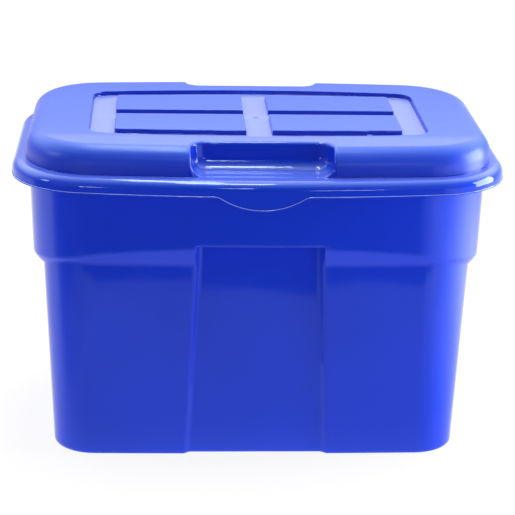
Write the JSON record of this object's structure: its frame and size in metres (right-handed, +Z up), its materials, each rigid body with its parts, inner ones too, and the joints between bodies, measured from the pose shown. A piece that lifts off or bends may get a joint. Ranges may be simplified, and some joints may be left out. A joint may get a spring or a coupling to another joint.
{
  "type": "storage tote",
  "caption": "Tapered moulded plastic tub with a stepped upper band and front bay, closed by a domed lift-off lid with raised pads, finger scoops and pull tabs",
  "frame": {"origin": "on the floor plane, under the middle of the tub's footprint", "axes": "+Z up, long side along X, one of the two alike long sides faces -Y"},
  "size_m": [0.6018, 0.4018, 0.403],
  "materials": {
    "tub_plastic": "glossy moulded polypropylene, strong blue",
    "lid_plastic": "glossy moulded polypropylene, strong blue, satin top"
  },
  "bodies": {
    "tub": {"tub": "tub_plastic"},
    "lid": {"lid": "lid_plastic"}
  },
  "joints": [
    {"name": "lid_lift", "type": "slide", "parent": "tub", "child": "lid", "axis": [0, 0, 1], "range_m": [0, 0.25]}
  ]
}
